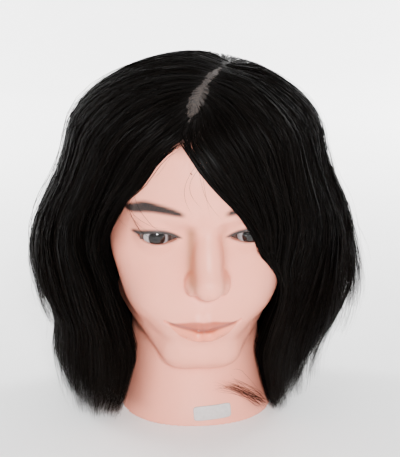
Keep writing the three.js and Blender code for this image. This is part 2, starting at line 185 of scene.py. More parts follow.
def ear(X, y, z):
    y, z = y - EAR_AT[0], z - EAR_AT[1]
    leant = (np.abs(X), math.cos(EAR_LEAN) * y + math.sin(EAR_LEAN) * z,
             math.cos(EAR_LEAN) * z - math.sin(EAR_LEAN) * y)
    return smax(ball(*leant, (75, 0, 0), (7, 16, 29)), -ball(*leant, (83, -3, 3), (7, 10, 18)), 3)


def skin(X, Y, Z, opened=True):
    x, y, z = to_head(X, Y, Z)
    d = smin(head_local(x, y, z), neck(X, Y, Z), 12)
    d = smin(d, ear(x, y, z), 4)
    if opened:
        d = smax(d, -eye_cut(x, y, z), 0.8)
    return np.maximum(d, -Z)


# ---------------------------------------------------------------- painted areas, 0 to 1
def smoothstep(edge0, edge1, v):
    t = np.clip((v - edge0) / (edge1 - edge0), 0, 1)
    return t * t * (3 - 2 * t)


def lips_paint(x, y, z):
    x = np.abs(x)
    top = curve(x, [(0, -64.6), (5.5, -63.6), (14, -65.4), (26, -68.4)])
    bottom = curve(x, [(0, -83.2), (9, -82.6), (17, -78.5), (26, -69.6)])
    inside = np.minimum(top - z, z - bottom)
    return smoothstep(-0.9, 0.9, inside) * smoothstep(27, 24, x) * smoothstep(-70, -76, y)


def brow_paint(x, y, z):
    x = np.abs(x) - 3.0
    middle = curve(x, [(12, 21.4), (24, 23.2), (38, 23.4), (48, 20.4), (56, 15.6)])
    half = curve(x, [(12, 1.6), (20, 2.7), (32, 3.7), (43, 4.3), (51, 3.2), (57, 0.8)])
    across = smoothstep(half + 1.6, half - 1.6, np.abs(z - middle))
    return across * smoothstep(9.5, 15.5, x) * smoothstep(58, 53, x) * smoothstep(-50, -56, y)


def liner_paint(x, y, z):
    ex = np.abs(x) - EYE[0]
    d = lid_opening(ex, z - EYE[2])
    upper = smoothstep(4.0, 1.9, d) * smoothstep(-0.5, 1.2, z - EYE[2] + 0.5)
    lower = 0.45 * smoothstep(1.6, 0.4, d)
    near = smoothstep(-60, -66, y) * smoothstep(20.5, 17, np.abs(ex))
    return np.maximum(upper, lower) * near


# ---------------------------------------------------------------- mesh helpers
def steps(stops, sizes):
    """Grid lines from the first stop to the last, with one spacing for each stretch."""
    lines = [stops[0]]
    for a, b, size in zip(stops, stops[1:], sizes):
        n = max(1, round((b - a) / size))
        lines += [a + (b - a) * (i + 1) / n for i in range(n)]
    return np.array(lines, float)


GRID_BLOCK = 6  # grid lines to one line of the coarse first pass


def field_on_grid(field, xs, ys, zs):
    """Field values at the grid's points, worked out fully only near the surface."""
    def blocks(v):
        return np.append(v[::GRID_BLOCK], v[-1]) if (len(v) - 1) % GRID_BLOCK else v[::GRID_BLOCK]

    cx, cy, cz = blocks(xs), blocks(ys), blocks(zs)
    coarse = field(*[g.ravel() for g in np.meshgrid(cx, cy, cz, indexing="ij")])
    coarse = coarse.reshape(len(cx), len(cy), len(cz))
    reach = 0.9 * np.sqrt(np.diff(cx).max() ** 2 + np.diff(cy).max() ** 2 + np.diff(cz).max() ** 2)

    def near(v, c):
        return np.clip(np.searchsorted(c, v, side="right") - 1, 0, len(c) - 2)

    low = coarse[:-1, :-1, :-1]
    value = low[np.ix_(near(xs, cx), near(ys, cy), near(zs, cz))].copy()
    i, j, k = np.nonzero(np.abs(value) < reach)
    value[i, j, k] = field(xs[i], ys[j], zs[k])
    return value


def surface_net(field, xs, ys, zs):
    """Vertices (mm) and quads of the field's zero surface, pulled exactly onto it."""
    value = field_on_grid(field, xs, ys, zs)
    inside = value < 0
    n = [len(xs) - 1, len(ys) - 1, len(zs) - 1]
    corner = np.zeros(n, int)
    for dx, dy, dz in np.ndindex(2, 2, 2):
        corner += inside[dx:n[0] + dx, dy:n[1] + dy, dz:n[2] + dz]
    cells = np.nonzero((corner > 0) & (corner < 8))
    index = -np.ones(n, int)
    index[cells] = np.arange(len(cells[0]))
    at = np.stack([0.5 * (v[c] + v[c + 1]) for v, c in zip((xs, ys, zs), cells)], 1)
    size = np.stack([v[c + 1] - v[c] for v, c in zip((xs, ys, zs), cells)], 1)
    at = pulled(field, at, size * 0.75)
    quads = []
    for axis in range(3):
        u, v = [(1, 2), (2, 0), (0, 1)][axis]
        a = [slice(None)] * 3
        b = [slice(None)] * 3
        a[axis], b[axis] = slice(0, -1), slice(1, None)
        for w in (u, v):
            a[w] = b[w] = slice(1, -1)
        crossing = inside[tuple(a)] != inside[tuple(b)]
        where = np.stack(np.nonzero(crossing), 1)
        out = inside[tuple(a)][crossing]
        where[:, u] += 1
        where[:, v] += 1

        def cell(du, dv):
            c = where.copy()
            c[:, u] -= du
            c[:, v] -= dv
            return index[c[:, 0], c[:, 1], c[:, 2]]

        quad = np.stack([cell(1, 1), cell(0, 1), cell(0, 0), cell(1, 0)], 1)
        quad[~out] = quad[~out][:, ::-1]
        quads.append(quad)
    return at, np.concatenate(quads)


def gradient(field, at, step=0.3):
    g = np.empty_like(at)
    for axis in range(3):
        shift = np.zeros(3)
        shift[axis] = step
        g[:, axis] = field(*(at + shift).T) - field(*(at - shift).T)
    return g / (np.linalg.norm(g, axis=1, keepdims=True) + 1e-9)


def pulled(field, at, most):
    """Points moved onto the surface, each by no more than `most` on each axis."""
    start = at.copy()
    for _ in range(4):
        at = at - gradient(field, at) * field(*at.T)[:, None]
        at = np.clip(at, start - most, start + most)
    return at


def mesh_object(name, vertices_mm, faces):
    mesh = bpy.data.meshes.new(name)
    mesh.vertices.add(len(vertices_mm))
    mesh.vertices.foreach_set("co", (np.asarray(vertices_mm) * MM).astype(np.float32).ravel())
    faces = np.asarray(faces, np.int32)
    mesh.loops.add(faces.size)
    mesh.loops.foreach_set("vertex_index", faces.ravel())
    mesh.polygons.add(len(faces))
    mesh.polygons.foreach_set("loop_start", np.arange(0, faces.size, faces.shape[1], dtype=np.int32))
    mesh.polygons.foreach_set("use_smooth", np.full(len(faces), True))
    mesh.update(calc_edges=True)
    mesh.validate()
    return linked(bpy.data.objects.new(name, mesh))


def mixed_object(name, vertices, faces):
    """As mesh_object, for metres and for a mixture of triangles and quads."""
    mesh = bpy.data.meshes.new(name)
    mesh.from_pydata([tuple(v) for v in vertices], [], faces)
    for polygon in mesh.polygons:
        polygon.use_smooth = True
    mesh.update()
    return linked(bpy.data.objects.new(name, mesh))


def linked(thing):
    bpy.context.scene.collection.objects.link(thing)
    return thing


def fan(tip, first, around):
    """Triangles between a tip and a ring of vertices."""
    return [(tip, first + j, first + (j + 1) % around) for j in range(around)]


def ring_quads(firsts, around):
    """Quads between one ring of vertices and the next, from each ring's first vertex."""
    return [(a + j, b + j, b + (j + 1) % around, a + (j + 1) % around)
            for a, b in zip(firsts, firsts[1:]) for j in range(around)]


def grid_quads(rows, columns):
    """Vertex numbers of a grid, and its quads."""
    index = np.arange(rows * columns).reshape(rows, columns)
    quads = np.stack([index[:-1, :-1], index[:-1, 1:], index[1:, 1:], index[1:, :-1]], -1)
    return index, quads.reshape(-1, 4)


def add_attribute(piece, name, values):
    layer = piece.data.attributes.new(name, "FLOAT", "POINT")
    layer.data.foreach_set("value", np.asarray(values, np.float32))


# ---------------------------------------------------------------- material helpers
class Nodes:
    """A new material's node tree with short calls."""

    def __init__(self, name):
        self.material = bpy.data.materials.new(name)
        self.material.use_nodes = True
        self.tree = self.material.node_tree
        self.shader = self.tree.nodes["Principled BSDF"]

    def new(self, kind, **settings):
        node = self.tree.nodes.new(kind)
        for key, value in settings.items():
            if key in node.inputs:
                node.inputs[key].default_value = value
            else:
                setattr(node, key, value)
        return node

    def link(self, a, b):
        self.tree.links.new(a, b)

    def attribute(self, name):
        return self.new("ShaderNodeAttribute", attribute_name=name).outputs["Fac"]

    def noise(self, scale, detail=3.0, roughness=0.55):
        coords = self.new("ShaderNodeTexCoord").outputs["Object"]
        node = self.new("ShaderNodeTexNoise", Scale=scale, Detail=detail, Roughness=roughness)
        self.link(coords, node.inputs["Vector"])
        return node.outputs["Fac"]

    def mix(self, factor, a, b):
        """Colour mix. a and b are colours or sockets; factor is a number or a socket."""
        node = self.new("ShaderNodeMix", data_type="RGBA", clamp_factor=True)
        for socket, value in ((node.inputs[0], factor), (node.inputs[6], a), (node.inputs[7], b)):
            if isinstance(value, bpy.types.NodeSocket):
                self.link(value, socket)
            elif isinstance(value, (int, float)):
                socket.default_value = value
            else:
                socket.default_value = (*value, 1.0)
        return node.outputs[2]

    def product(self, a, b):
        node = self.new("ShaderNodeMath", operation="MULTIPLY")
        self.link(a, node.inputs[0])
        self.link(b, node.inputs[1])
        return node.outputs[0]

    def spread(self, value, low, high, to_low=0.0, to_high=1.0):
        node = self.new("ShaderNodeMapRange", clamp=True)
        self.link(value, node.inputs["Value"])
        for key, number in zip(("From Min", "From Max", "To Min", "To Max"), (low, high, to_low, to_high)):
            node.inputs[key].default_value = number
        return node.outputs["Result"]

    def bump(self, height, strength, distance):
        node = self.new("ShaderNodeBump", Strength=strength, Distance=distance)
        self.link(height, node.inputs["Height"])
        self.link(node.outputs["Normal"], self.shader.inputs["Normal"])

    def set(self, **values):
        names = {"spec": "Specular IOR Level", "coat": "Coat Weight", "coat_rough": "Coat Roughness",
                 "subsurface": "Subsurface Weight", "scale": "Subsurface Scale", "rough": "Roughness",
                 "radius": "Subsurface Radius"}
        for key, value in values.items():
            socket = self.shader.inputs[names[key]]
            if isinstance(value, bpy.types.NodeSocket):
                self.link(value, socket)
            else:
                socket.default_value = value

    def colour(self, value):
        self.link(value, self.shader.inputs["Base Color"])
        return self.material


# Colours are linear RGB.
VINYL = (0.90, 0.33, 0.228)
VINYL_DEEP = (0.80, 0.25, 0.16)
# The scalp under the hair is painted near black: dark roots, with painted shade from the hair over it.
ROOTS_AND_SHADE = (0.046, 0.030, 0.023)
ROOTS_AND_DEEP_SHADE = (0.005, 0.004, 0.0034)
LIP_INK = (0.86, 0.205, 0.10)
LIP_UPPER = (0.42, 0.078, 0.034)
# painted shade in the crease between the lips
LIP_CREASE_SHADE = (0.22, 0.038, 0.022)
BROW_INK = (0.0045, 0.0026, 0.0019)
LINER_INK = (0.022, 0.016, 0.015)
SIDE_SHADE = (0.46, 0.17, 0.12)
NOSE_SHADE = (0.36, 0.13, 0.06)


def vinyl_material():
    m = Nodes("soft_vinyl")
    patchy = m.noise(14.0, 4.0)
    base = m.mix(m.spread(patchy, 0.35, 0.7, 0.0, 0.35), VINYL, VINYL_DEEP)
    streaks = m.noise(900.0, 2.0)
    # scalp: dark roots in streaks, with painted shade from the hair lying over it
    base = m.mix(m.attribute("scalp"), base, m.mix(m.spread(streaks, 0.38, 0.62), ROOTS_AND_DEEP_SHADE, ROOTS_AND_SHADE))
    for name, ink in (("blush", VINYL_DEEP), ("shade", SIDE_SHADE), ("nose_shade", NOSE_SHADE)):
        base = m.mix(m.attribute(name), base, ink)
    brow = m.product(m.attribute("brow"), m.spread(streaks, 0.35, 0.6, 0.98, 1.0))
    base = m.mix(brow, base, BROW_INK)
    # lip paint, painted shade in the crease between the lips, and eyeliner
    for name, ink in (("lips", LIP_INK), ("upper_lip", LIP_UPPER), ("lip_crease_shade", LIP_CREASE_SHADE),
                      ("liner", LINER_INK)):
        base = m.mix(m.attribute(name), base, ink)
    rough = m.spread(m.noise(60.0, 3.0), 0.3, 0.7, 0.40, 0.50)
    gloss = m.spread(m.attribute("lips"), 0.0, 1.0, 1.0, 0.28)
    m.set(rough=m.product(rough, gloss), spec=0.42, coat=m.attribute("lips"), coat_rough=0.06,
          subsurface=0.06, scale=0.01, radius=(1.0, 0.35, 0.2))
    m.bump(m.noise(700.0, 3.0, 0.6), 0.10, 0.0004)
    return m.colour(base)


# ---------------------------------------------------------------- skin piece
FINE, MEDIUM, COARSE = 0.9, 1.6, 3.4  # grid spacings, finest over the face
WALL = 4.0
BASE_SINK = 9.5  # the hollow end of the neck, up to the closing disc


def vinyl_shell(x, y, z):
    """The skin with its hollow neck end, in which the disc and the socket sit."""
    d = skin(x, y, z)
    hollow = np.maximum(neck(x, y, z) + WALL, z - BASE_SINK)
    return smax(d, -hollow, 0.8)


def nose_side(x, y, z):
    x = x - NOSE_SHIFT
    shade = np.where(x < 0, 1.0, 0.4)
    beside = shade * np.exp(-((np.abs(x) - 12.0) / 3.6) ** 2) * smoothstep(16, 4, z) * smoothstep(-41, -26, z)
    return beside * smoothstep(-70, -76, y)


def skin_piece():
    xs = steps([-92, -58, -42, 42, 58, 92], [COARSE, MEDIUM, FINE, MEDIUM, COARSE])
    ys = steps([-118, -58, -30, 112], [FINE, MEDIUM, COARSE])
    zs = steps([-2.4, 8, 60, 78, 182, 205, 284], [FINE, COARSE, MEDIUM, FINE, MEDIUM, COARSE])
    at, quads = surface_net(vinyl_shell, xs, ys, zs)
    piece = mesh_object("vinyl_skin", at, quads)
    for name, values in skin_masks(at).items():
        add_attribute(piece, name, values)
    piece.data.materials.append(vinyl_material())
    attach(piece, "root")
    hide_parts("head_skin")


def skin_masks(at):
    """Where the vinyl is painted or shaded, from 0 to 1, at each vertex."""
    x, y, z = to_head(*at.T)
    beside = np.abs(x)
    lips = lips_paint(x, y, z)
    above_mouth = z - mouth_line(beside)
    # painted shade along the crease between the lips, out past the mouth's corners
    line = smoothstep(2.1, 0.4, np.abs(above_mouth)) * smoothstep(29, 22, beside)
    cheeks = np.exp(-((beside - 46) / 16) ** 2 - ((z + 30) / 22) ** 2) * smoothstep(-20, -40, y)
    hollow = np.exp(-((beside - 57) / 12) ** 2 - ((z + 54) / 26) ** 2)
    neck_side = smoothstep(30, 54, np.abs(at[:, 0])) * smoothstep(84, 66, at[:, 2])
    neck_side = neck_side * smoothstep(2, 14, at[:, 2])
    return {
        "lips": lips * 0.9,
        "upper_lip": lips * smoothstep(-0.6, 0.8, above_mouth),
        "lip_crease_shade": line * smoothstep(-70, -76, y) * 0.85,
        "brow": brow_paint(x, y, z),
        "liner": liner_paint(x, y, z),
        "nose_shade": nose_side(x, y, z) * 0.85,
        "blush": 0.3 * cheeks,
        "shade": np.maximum(0.7 * hollow, 0.72 * neck_side),
        # the scalp, painted dark for its roots and for the shade of the hair over it
        "scalp": smoothstep(60, 74, z),
    }


# ---------------------------------------------------------------- eyes
IRIS_R = 6.3
PUPIL_R = 2.3
CORNEA_RISE = 0.7
# ring behind the lids: radius, how far forward, and how much further forward beside the nose
LINING = [(9.4, 8.0, 0.7), (14.2, 6.9, 2.2), (14.2, 6.1, 2.2), (9.4, 7.2, 0.7)]


def eye_material():
    """Iris, pupil and white by distance from the gaze axis, which is the mesh attribute `off_axis`."""
    m = Nodes("glossy_eye")
    off = m.attribute("off_axis")
    fibres = m.noise(500.0, 4.0)
    iris = m.mix(m.spread(fibres, 0.35, 0.65), (0.003, 0.0024, 0.0022), (0.010, 0.008, 0.0076))
    ring = m.spread(off, IRIS_R * 0.72, IRIS_R)
    iris = m.mix(ring, iris, (0.008, 0.006, 0.006))
    veins = m.spread(m.noise(160.0, 3.0), 0.4, 0.7, 0.0, 0.5)
    white = m.mix(veins, (0.30, 0.265, 0.27), (0.25, 0.20, 0.20))
    eye = m.mix(m.spread(off, IRIS_R - 0.5, IRIS_R + 0.4), iris, white)
    # painted shade over the white at the inner corner, stronger on the right eye
    eye = m.mix(m.attribute("inner_corner_shade"), eye, (0.040, 0.022, 0.018))
    # the eyeball's rim and the lining behind the lids are painted dark brown as the socket's shade
    eye = m.mix(m.spread(off, EYE_R - 0.2, EYE_R), eye, (0.05, 0.024, 0.019))
    eye = m.mix(m.spread(off, PUPIL_R - 0.3, PUPIL_R + 0.4), (0.003, 0.003, 0.003), eye)
    m.set(rough=0.12, spec=0.3, coat=0.22, coat_rough=0.03)
    m.bump(m.noise(90.0, 2.0), 0.02, 0.0003)
    return m.colour(eye)


EYE_RINGS, EYE_AROUND = 44, 64
EYE_BACK = 3.0  # the flat back lies this far behind the eye's centre
CORNEA_ANGLE = 0.52  # from the gaze axis to the cornea's rim
BEHIND = 20  # added to off_axis where only the inside of the head can be


def eyeball():
    """Vertices about the eye's centre: the front, rings of them, and the middle of the back."""
    turns = [2 * math.pi * j / EYE_AROUND for j in range(EYE_AROUND)]
    at = [(0.0, -(EYE_R + CORNEA_RISE), 0.0)]
    for angle in np.linspace(0.02, math.pi / 2 + math.asin(EYE_BACK / EYE_R), EYE_RINGS):
        r = EYE_R + CORNEA_RISE * math.cos(min(angle / CORNEA_ANGLE, 1) * math.pi / 2) ** 2
        at += [(r * math.sin(angle) * math.cos(t), -r * math.cos(angle), r * math.sin(angle) * math.sin(t))
               for t in turns]
    return np.array(at + [(0.0, EYE_BACK, 0.0)])


def eye_lining(side):
    """Rings that close the view past the eyeball, narrower at the temple and further out by the nose."""
    turn = 2 * math.pi * np.arange(EYE_AROUND) / EYE_AROUND
    templeward = side * np.cos(turn)
    noseward = np.clip(-templeward, 0, 1)
    stretch = 1 - 0.13 * np.clip(templeward, 0, 1) + 0.12 * noseward
    rings = []
    for radius, forward, by_nose in LINING:
        wide = radius * (stretch if radius > EYE_R else 1)
        rings.append(np.stack([wide * np.cos(turn), -forward - by_nose * noseward, wide * np.sin(turn)], 1))
    return np.concatenate(rings)


def eye_piece(side, material):
    ball_at, lining = eyeball(), eye_lining(side)
    at = np.concatenate([ball_at, lining])
    off_axis = np.hypot(ball_at[:, 0], ball_at[:, 2]) + np.where(ball_at[:, 1] > 0, BEHIND, 0)
    # painted shade at the inner corner, beside the nose; stronger on the right eye
    inner = smoothstep(-6.6, -8.6, ball_at[:, 0] * side) * (0.95 if side < 0 else 0.35)
    tip, first, around = len(ball_at) - 1, len(ball_at), EYE_AROUND
    rings = [1 + i * around for i in range(EYE_RINGS)]
    back = [(a, tip, b) for _, a, b in fan(tip, rings[-1], around)]
    lining_rings = [first + i % len(LINING) * around for i in range(len(LINING) + 1)]
    faces = fan(0, 1, around) + ring_quads(rings, around) + back + ring_quads(lining_rings, around)
    centre = np.array(to_world(side * EYE[0], EYE[1], EYE[2]))
    turned = np.stack(to_world(*at.T), 1) - np.array(to_world(0, 0, 0)) + centre
    piece = mixed_object("eye_insert_left" if side > 0 else "eye_insert_right", turned * MM, faces)
    # the lining takes the dark brown painted shade of the socket
    add_attribute(piece, "off_axis", np.append(off_axis, np.full(len(lining), EYE_R + 5)))
    add_attribute(piece, "inner_corner_shade", np.append(inner, np.zeros(len(lining))))
    piece.data.materials.append(material)
    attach(piece, "root")
    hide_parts("eye_left" if side > 0 else "eye_right")


# ---------------------------------------------------------------- hair: space between skin and outer form
# A place in the hair is an azimuth (degrees, 0 at the front, positive to +X), a level and a depth.
# A level is a height below the axis point, and above it the angle up to the top, as a height.
AXIS_Y, AXIS_Z = 5.0, 170.0
HAIR_TOP = 284.0
DOME_START = 215.0
DOME_FULLNESS = 0.6
HAIR_SQUARENESS = 2.1
# half-widths and depths of the outer form by height
HAIR_RIGHT = [(0, 101), (20, 109), (48, 115), (63, 113), (78, 113), (90, 121), (110, 127), (130, 128),
              (150, 126), (170, 119), (190, 108), (215, 100)]
HAIR_LEFT = [(0, 88), (18, 93), (33, 96), (48, 101), (63, 110), (78, 120), (92, 127), (110, 130),
             (130, 129), (150, 125), (170, 118), (190, 108), (215, 100)]
HAIR_FRONT = [(0, 78), (50, 79), (90, 79), (110, 81), (130, 88), (150, 98), (170, 105),
              (190, 106), (215, 103)]
HAIR_BACK = [(0, 78), (50, 90), (80, 98), (110, 104), (150, 108), (190, 108), (215, 104)]


def hair_form(x, y, z):
    up = np.clip((z - DOME_START) / (HAIR_TOP - DOME_START), 0, 0.9999)
    dome = (1 - up * up) ** DOME_FULLNESS
    a = dome * np.where(x > 0, curve(z, HAIR_LEFT), curve(z, HAIR_RIGHT))
    b = dome * np.where(y < AXIS_Y, curve(z, HAIR_FRONT), curve(z, HAIR_BACK))
    u = np.abs(x / a) ** HAIR_SQUARENESS + np.abs((y - AXIS_Y) / b) ** HAIR_SQUARENESS
    return np.maximum((u ** (1 / HAIR_SQUARENESS) - 1) * np.minimum(a, b), z - HAIR_TOP)


def rise_at(level):
    """The angle above the axis point that a level stands for."""
    return np.clip((level - AXIS_Z) / (HAIR_TOP - AXIS_Z), 0, 1) * math.pi / 2


def hair_ray(azimuth, level):
    turn = np.radians(azimuth)
    rise = rise_at(level)
    base = np.stack([0 * turn, AXIS_Y + 0 * turn, np.minimum(level, AXIS_Z)], -1)
    flat = np.cos(rise)
    return base, np.stack([np.sin(turn) * flat, -np.cos(turn) * flat, np.sin(rise)], -1)


def hair_place(at):
    """Azimuth, level and distance from the axis of points in millimetres."""
    x, y, z = at[..., 0], at[..., 1] - AXIS_Y, at[..., 2]
    flat = np.hypot(x, y)
    above = np.maximum(z - AXIS_Z, 0)
    level = np.where(z > AXIS_Z, AXIS_Z + np.arctan2(above, flat) / (math.pi / 2) * (HAIR_TOP - AXIS_Z), z)
    return np.degrees(np.arctan2(x, -y)), level, np.hypot(flat, above)


TABLE_AZIMUTHS = np.linspace(-180, 180, 145)
TABLE_LEVELS = np.linspace(0, HAIR_TOP, 120)
FARTHEST = 150.0  # outside the head and its hair in every direction


def reach_table(field, stride):
    """Distance from the axis to the outermost crossing of a form, for every azimuth and level."""
    azimuth, level = np.meshgrid(TABLE_AZIMUTHS, TABLE_LEVELS, indexing="ij")
    base, ray = hair_ray(azimuth.ravel(), level.ravel())
    distance = np.full(len(base), FARTHEST)
    for _ in range(round(160 / stride)):
        clear = field(*(base + ray * distance[:, None]).T)
        distance = np.maximum(distance - np.clip(clear * 0.8, 0, stride), 1)
    return distance.reshape(azimuth.shape)


def look_up(table, azimuth, level):
    i = np.clip((azimuth + 180) / 360 * (len(TABLE_AZIMUTHS) - 1), 0, len(TABLE_AZIMUTHS) - 1.001)
    j = np.clip(level / HAIR_TOP * (len(TABLE_LEVELS) - 1), 0, len(TABLE_LEVELS) - 1.001)
    i0, j0 = i.astype(int), j.astype(int)
    u, v = i - i0, j - j0
    return ((1 - u) * (1 - v) * table[i0, j0] + u * (1 - v) * table[i0 + 1, j0]
            + (1 - u) * v * table[i0, j0 + 1] + u * v * table[i0 + 1, j0 + 1])


def closed_skin(x, y, z):
    return skin(x, y, z, opened=False)


SKIN_REACH = reach_table(closed_skin, 3.0)
HAIR_REACH = reach_table(hair_form, 1.0)
SKIN_CLEARANCE = 0.5
LEAST_ROOM = 3.0  # thickness of the hair where the outer form nearly touches the skin
HANG_FROM = 150
HANG_SLOPE = 0.42  # hair swings in under the jaw no faster than this, per millimetre of drop


def hanging_reach():
    """The skin's reach, with the hollows under the cheeks and jaw bridged by hair that hangs."""
    reach = SKIN_REACH.copy()
    drop = TABLE_LEVELS[1] * HANG_SLOPE
    for j in range(len(TABLE_LEVELS) - 2, -1, -1):
        if TABLE_LEVELS[j] < HANG_FROM:
            reach[:, j] = np.maximum(reach[:, j], reach[:, j + 1] - drop)
    return reach


HANG_REACH = hanging_reach()


def hair_at(azimuth, level, depth):
    base, ray = hair_ray(azimuth, level)
    low = look_up(HANG_REACH, azimuth, level) + SKIN_CLEARANCE
    high = np.maximum(look_up(HAIR_REACH, azimuth, level), low + LEAST_ROOM)
    return base + ray * (low + (high - low) * depth)[..., None]


# ---------------------------------------------------------------- hair: parting, face window and flow
PARTING = np.array([(-11.5, -84.0), (2.0, -52.0), (20.0, -18.0), (27.0, 4.0)])  # in plan, front to crown
# half the width of bare scalp along the parting, by distance back from its front end
PARTING_GAP = [(0, -2), (6, 0.5), (12, 4.4), (27, 5.2), (35, 1.8), (43, 3.2), (56, 1.6), (66, -1.5)]
# azimuth of the hair's edge beside the face, at each level
EDGE_RIGHT = [(0, -64), (23, -60), (45, -58), (68, -55), (88, -53.5), (116, -52.5), (136, -54), (152, -55),
              (161, -57.5), (171, -51), (181, -36), (190, -24), (196, -19), (204, -15), (210, -10), (215, -4),
              (224, -2), (230, 0)]
EDGE_LEFT = [(0, 60), (23, 57), (39, 56), (55, 54), (68, 48.5), (80, 44.5), (97, 44), (112, 42.5),
             (124, 40.5),
             (136, 33.5), (148, 27), (166, 19.5), (178, 12.5), (188, 4.5), (201, -3), (209, -8), (214, -13),
             (224, -10), (230, -4)]
WINDOW_TOP = 226.0
# lowest level with roots, by azimuth either way
HAIRLINE = [(0, 210), (25, 208), (45, 205), (60, 186), (75, 152), (95, 140), (120, 112), (180, 92)]


def from_parting(at):
    """Plan distance and direction from the parting's nearest point, and the side of it (+1 is +X)."""
    best = None
    for a, b in zip(PARTING, PARTING[1:]):
        d = b - a
        t = np.clip(((at[:, :2] - a) @ d) / (d @ d), 0, 1)
        away = at[:, :2] - (a + t[:, None] * d)
        distance = np.hypot(*away.T)
        side = np.sign(d[1] * (at[:, 0] - a[0]) - d[0] * (at[:, 1] - a[1]))
        if best is None:
            best = [distance, away, side]
        else:
            nearer = distance < best[0]
            best = [np.where(nearer, distance, best[0]), np.where(nearer[:, None], away, best[1]),
                    np.where(nearer, side, best[2])]
    distance, away, side = best
    return distance, away / (distance[:, None] + 1e-6), side


def window_table(edge, sign):
    """The edge's distance to the side of the middle plane, on the skin, at each level."""
    levels = TABLE_LEVELS[TABLE_LEVELS < 232]
    azimuth = curve(levels, edge)
    base, ray = hair_ray(azimuth, levels)
    return list(zip(levels, sign * (base + ray * look_up(SKIN_REACH, azimuth, levels)[:, None])[:, 0]))


SIDE_RIGHT = window_table(EDGE_RIGHT, -1)
SIDE_LEFT = window_table(EDGE_LEFT, 1)
EDGE_SOFTNESS = 3.0
EDGE_REACH = 22.0  # how far beside the face window strands run along its edge
# how far the hair lies over the edge, in millimetres at each level
OVERHANG_RIGHT = [(95, 0), (130, 3.0), (190, 5.0), (204, 3.0), (214, 0)]
OVERHANG_LEFT = [(105, 0), (135, 7.0), (160, 10.0), (194, 10.5), (206, 7.0), (215, 0)]


def window_side(level, side):
    return np.where(side > 0, curve(level, SIDE_LEFT) - curve(level, OVERHANG_LEFT),
                    curve(level, SIDE_RIGHT) - curve(level, OVERHANG_RIGHT))


def beside_window(azimuth, level, distance, side, margin):
    """Azimuths pushed out of the face window, softly, so that strands crowd along its edge."""
    limit = window_side(level, side) + margin * smoothstep(212, 190, level)
    flat = distance * np.cos(rise_at(level))
    beyond = flat * np.sin(np.radians(azimuth)) * side - limit
    pushed = np.where(beyond > 6 * EDGE_SOFTNESS, beyond,
                      EDGE_SOFTNESS * np.log1p(np.exp(np.clip(beyond / EDGE_SOFTNESS, -30, 20))))
    moved = np.degrees(np.arcsin(np.clip((limit + pushed) / (flat + 1e-6), -1, 1))) * side
    front = (level < WINDOW_TOP) & (np.abs(azimuth) < 100) & (azimuth * side < 75)
    return np.where(front & (beyond < 6 * EDGE_SOFTNESS), moved, azimuth)


def along_edge(at, level, side):
    """Direction along the face window's edge, and how much a strand follows it."""
    low = np.minimum(level, WINDOW_TOP - 4)
    slope = (window_side(low - 3, side) - window_side(low + 3, side)) / 6
    heading = np.stack([slope * side, 0 * slope, -np.ones_like(slope)], -1)
    gap = np.maximum(at[:, 0] * side - window_side(low, side), 0)
    front = (at[:, 1] < AXIS_Y) * smoothstep(250, 222, level)
    return heading / np.linalg.norm(heading, axis=1, keepdims=True), np.exp(-gap / EDGE_REACH) * front


STEP = 5.0
MOST_STEPS = 92
STEPS_TO_TURN = 14  # a strand's own wander has grown to its full strength after this many
STEPS_TO_LIFT = 4.5
PARTING_PULL = 1.25
PARTING_REACH = 62.0
FACE_PULL = 0.03  # how fast strands close in on the side of the face, per millimetre
SHORTEST_LEVEL = 1.5


def lasting_depth(depth, azimuth, level, upper):
    """Under hair fills the whole form below the upper layer's ends, except beside the face."""
    fuller = (0.25 + 0.25 * depth) * smoothstep(128, 74, level) * smoothstep(46, 72, np.abs(azimuth))
    return np.where(upper, depth, np.minimum(depth + fuller, 1))


def flow_paths(roots, side, depth, upper, end_level, margin, wander):
    """Strand paths from the roots: away from the parting, then down, inside the hair's form."""
    at = hair_at(*hair_place(roots)[:2], np.zeros(len(roots)))
    paths = [at]
    ended = np.full(len(roots), float(MOST_STEPS - 1))
    alive = np.ones(len(roots), bool)
    for step in range(1, MOST_STEPS):
        distance, away, _ = from_parting(at)
        pull = PARTING_PULL * np.exp(-distance / PARTING_REACH) + 0.12
        pull *= 0.12 + 0.88 * smoothstep(125, 215, hair_place(at)[1])
        v = np.zeros_like(at)
        v[:, :2] = away * pull[:, None]
        v[:, 2] = -1
        turn = wander * min(step / STEPS_TO_TURN, 1)
        v[:, 0] += -away[:, 1] * turn
        v[:, 1] += away[:, 0] * turn
        azimuth, level, _ = hair_place(at)
        heading, follow = along_edge(at, level, side)
        v += (heading * np.linalg.norm(v, axis=1, keepdims=True) - v) * follow[:, None]
        astray = at[:, 0] * side - window_side(level, side) - 1.6 * margin
        v[:, 0] -= side * FACE_PULL * np.clip(astray, 0, 30) * follow * smoothstep(170, 130, level)
        _, ray = hair_ray(azimuth, level)
        v -= ray * (v * ray).sum(1, keepdims=True)
        at = at + v / (np.linalg.norm(v, axis=1, keepdims=True) + 1e-6) * STEP
        azimuth, level, distance = hair_place(at)
        azimuth = beside_window(azimuth, level, distance, side, margin)
        grown = lasting_depth(depth, azimuth, level, upper) * smoothstep(0, STEPS_TO_LIFT, step)
        at = hair_at(azimuth, np.maximum(level, SHORTEST_LEVEL), grown)
        reached = alive & (level < end_level)
        ended[reached] = step
        alive &= ~reached
        paths.append(at)
    return np.stack(paths, 1), ended


def resampled(paths, ended):
    """Points along each path from the root to where it ends, a little closer near the root."""
    t = np.linspace(0, 1, STRAND_POINTS) ** 1.25
    place = np.clip(ended[:, None] * t, 0, paths.shape[1] - 1.001)
    i = place.astype(int)
    u = (place - i)[..., None]
    rows = np.arange(len(paths))[:, None]
    return paths[rows, i] * (1 - u) + paths[rows, i + 1] * u


ROOTS_ABOVE_AXIS = 0.56  # share of the roots above the axis point
ROOTS_IN_GAP = 0.8  # roots begin this far out in the parting's gap
STRAYS_IN_PARTING = 0.16  # share of the roots kept where the scalp shows


